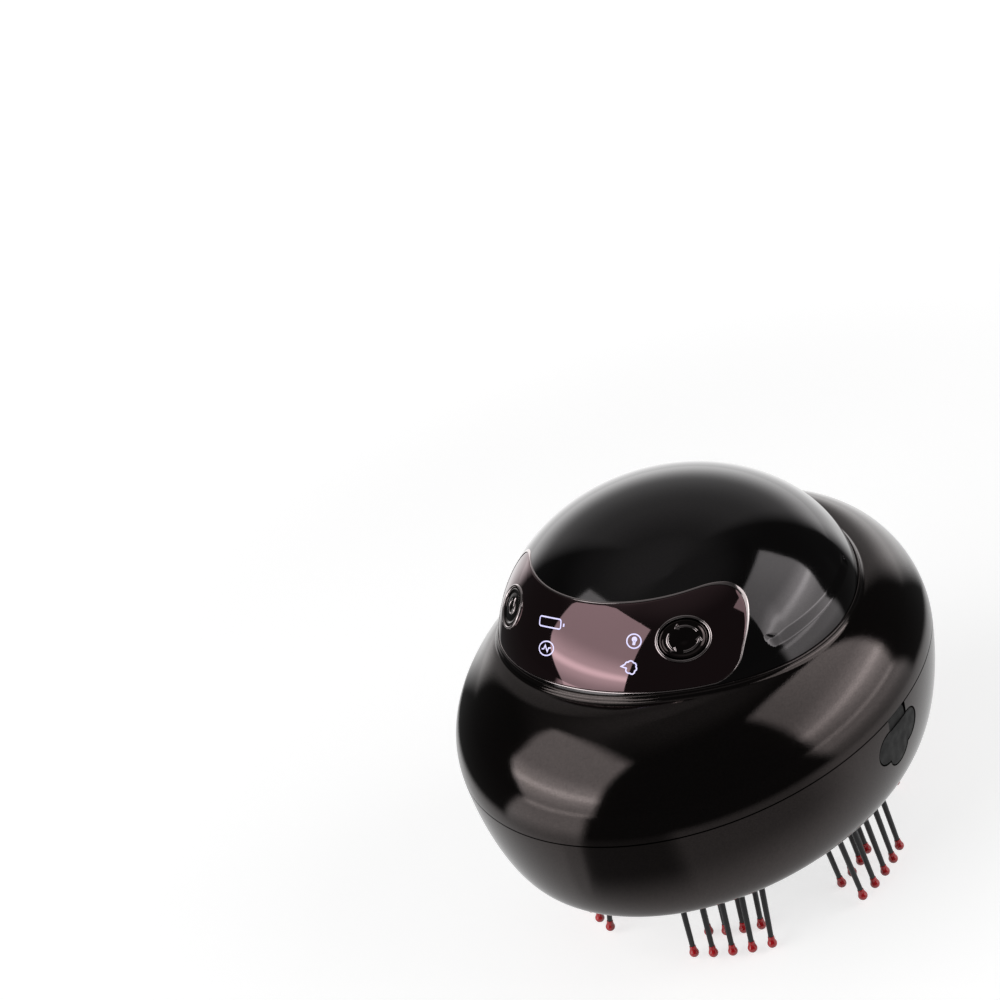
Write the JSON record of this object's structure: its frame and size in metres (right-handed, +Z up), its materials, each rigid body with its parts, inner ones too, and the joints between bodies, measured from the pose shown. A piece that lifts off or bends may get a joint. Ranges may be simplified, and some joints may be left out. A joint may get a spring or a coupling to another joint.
{
  "type": "scalp massager",
  "caption": "Oval palm-held electric scalp massager with a domed top, a curved display with press buttons, a rubber comb of splayed red-tipped bristles and a pull-out roller-ball applicator",
  "frame": {"origin": "centre of the footprint, on the surface that the bristle tips stand on", "axes": "+Z up, display and buttons face -Y, charging port on +X"},
  "size_m": [0.0943, 0.111, 0.0892],
  "materials": {
    "body_gloss": "glossy near-black brown with a fine metallic fleck under clear lacquer",
    "display": "piano black, clear and very glossy",
    "button_cap": "dark glossy cap with a shallow dish",
    "dark_chrome": "dark smoked chrome",
    "light_lens": "translucent orange-red light window",
    "black_rim": "black rim",
    "cover_grey": "matte dark grey",
    "silicone": "matte black silicone",
    "comb_rubber": "satin black soft rubber",
    "comb_pad": "satin black plastic",
    "bristle_black": "black nylon",
    "tip_red": "glossy red bead",
    "cup_matte": "fine-grained matte charcoal",
    "ball_chrome": "polished steel",
    "ring_chrome": "polished steel",
    "seal_rubber": "black rubber",
    "inner_plastic": "dark grey moulded plastic",
    "battery_wrap": "silver foil pouch",
    "board_green": "green circuit board",
    "led_body": "clear light part",
    "motor_steel": "plain steel",
    "weight_steel": "sintered heavy metal",
    "switch_black": "black tact switch"
  },
  "bodies": {
    "main_body": {"battery": "battery_wrap", "battery_tray": "inner_plastic", "bristle_tips_1": "tip_red", "bristle_tips_2": "tip_red", "bristle_tips_3": "tip_red", "bristle_tips_4": "tip_red", "bristle_tips_5": "tip_red", "bristle_tips_6": "tip_red", "bristles_1": "bristle_black", "bristles_2": "bristle_black", "bristles_3": "bristle_black", "bristles_4": "bristle_black", "bristles_5": "bristle_black", "bristles_6": "bristle_black", "button_switches": "switch_black", "casing_screws": "motor_steel", "charge_board": "board_green", "charging_socket": "motor_steel", "comb_pad_1": "comb_pad", "comb_pad_2": "comb_pad", "comb_pad_3": "comb_pad", "comb_pad_4": "comb_pad", "comb_pad_5": "comb_pad", "comb_pad_6": "comb_pad", "comb_plate": "comb_rubber", "comb_retainer": "inner_plastic", "cup_socket": "inner_plastic", "display_boards": "board_green", "display_panel": "display", "dome_shell": "body_gloss", "frame_screws": "motor_steel", "inner_frame": "inner_plastic", "led_boards": "board_green", "light_bezels": "black_rim", "light_guides": "led_body", "light_windows": "light_lens", "lower_casing": "body_gloss", "main_board": "board_green", "mode_button_ring": "dark_chrome", "motor_bracket": "inner_plastic", "motor_can": "motor_steel", "port_cover_anchor": "silicone", "power_button_ring": "dark_chrome", "screw_covers": "cover_grey", "upper_casing": "body_gloss", "window_leds": "led_body"},
    "power_button": {"power_button": "button_cap"},
    "mode_button": {"mode_button": "button_cap"},
    "port_cover": {"port_cover": "silicone"},
    "applicator": {"applicator_cup": "cup_matte", "applicator_lid": "cup_matte", "applicator_tubes": "cup_matte", "ball_retainers": "ring_chrome", "cup_seal": "seal_rubber"},
    "motor_rotor": {"motor_shaft": "motor_steel", "eccentric_weight": "weight_steel"},
    "roller_ball_1": {"roller_ball_1": "ball_chrome"},
    "roller_ball_2": {"roller_ball_2": "ball_chrome"},
    "roller_ball_3": {"roller_ball_3": "ball_chrome"},
    "roller_ball_4": {"roller_ball_4": "ball_chrome"}
  },
  "joints": [
    {"name": "power_button_press", "type": "slide", "parent": "main_body", "child": "power_button", "axis": [0.5107, 0.6043, -0.6116], "range_m": [0, 0.0006], "stiffness_N_per_m": 1500, "springref_m": -0.0004},
    {"name": "mode_button_press", "type": "slide", "parent": "main_body", "child": "mode_button", "axis": [-0.5107, 0.6043, -0.6116], "range_m": [0, 0.0006], "stiffness_N_per_m": 1500, "springref_m": -0.0004},
    {"name": "port_cover_hinge", "type": "hinge", "parent": "main_body", "child": "port_cover", "pos_m": [0.046, 0, 0.045], "axis": [0, -1, 0], "range_deg": [0, 90]},
    {"name": "applicator_draw", "type": "slide", "parent": "main_body", "child": "applicator", "axis": [0, 0, -1], "range_m": [0, 0.012]},
    {"name": "motor_spin", "type": "hinge", "parent": "main_body", "child": "motor_rotor", "pos_m": [0, 0.022, 0.0452], "axis": [1, 0, 0], "continuous": true},
    {"name": "roller_ball_1_roll", "type": "hinge", "parent": "applicator", "child": "roller_ball_1", "pos_m": [-0.00645, -0.00645, 0.00205], "axis": [1, 0, 0], "continuous": true},
    {"name": "roller_ball_2_roll", "type": "hinge", "parent": "applicator", "child": "roller_ball_2", "pos_m": [0.00645, -0.00645, 0.00205], "axis": [1, 0, 0], "continuous": true},
    {"name": "roller_ball_3_roll", "type": "hinge", "parent": "applicator", "child": "roller_ball_3", "pos_m": [-0.00645, 0.00645, 0.00205], "axis": [1, 0, 0], "continuous": true},
    {"name": "roller_ball_4_roll", "type": "hinge", "parent": "applicator", "child": "roller_ball_4", "pos_m": [0.00645, 0.00645, 0.00205], "axis": [1, 0, 0], "continuous": true}
  ]
}
